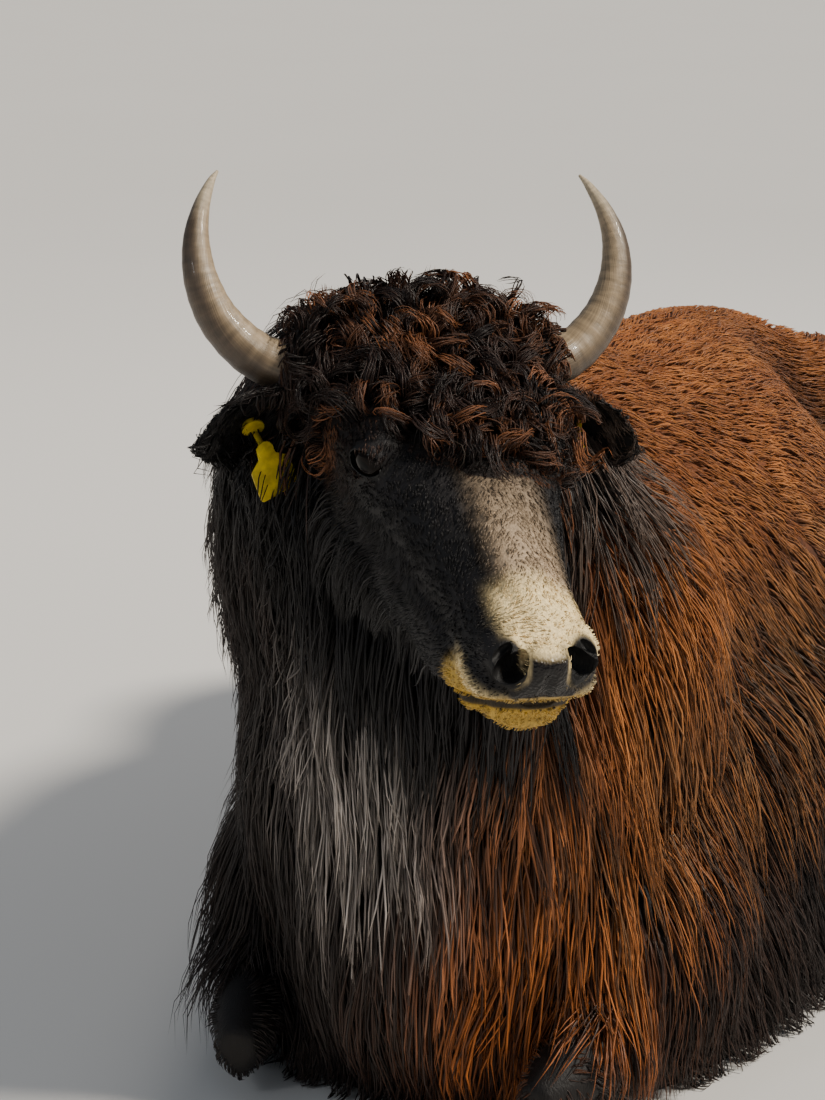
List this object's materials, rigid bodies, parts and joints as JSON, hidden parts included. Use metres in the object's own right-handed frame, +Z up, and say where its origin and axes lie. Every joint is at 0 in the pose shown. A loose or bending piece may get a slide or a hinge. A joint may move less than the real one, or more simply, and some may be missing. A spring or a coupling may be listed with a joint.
{
  "type": "life-size model of a lying yak cow",
  "caption": "Life-size model of a long-haired yak cow lying on folded legs, head raised and turned to its left, with curved horns and yellow ear tags.",
  "frame": {"origin": "on the floor under the belly, on the model's mid plane", "axes": "+Z up; the body faces -Y; the animal's left side is +X"},
  "size_m": [0.952, 1.8414, 1.0084],
  "materials": {
    "coat": "long dark brown to black hair with rust-coloured shoulders and flanks, matt to slightly glossy",
    "horn": "satin grey-tan horn, darker on its outer side, with a pale tip",
    "eye": "wet dark brown eyeball",
    "tag": "plain yellow soft plastic ear tag"
  },
  "bodies": {
    "root": {"head": "coat", "neck": "coat", "torso": "coat", "tail": "coat", "foreleg_left": "coat", "hindleg_left": "coat", "hoof_left": "horn", "ear_left": "coat", "horn_left": "horn", "eye_left": "eye", "ear_tag_left": "tag", "ear_tag_left_button": "tag", "foreleg_right": "coat", "hindleg_right": "coat", "hoof_right": "horn", "ear_right": "coat", "horn_right": "horn", "eye_right": "eye", "ear_tag_right": "tag", "ear_tag_right_button": "tag"}
  },
  "joints": []
}
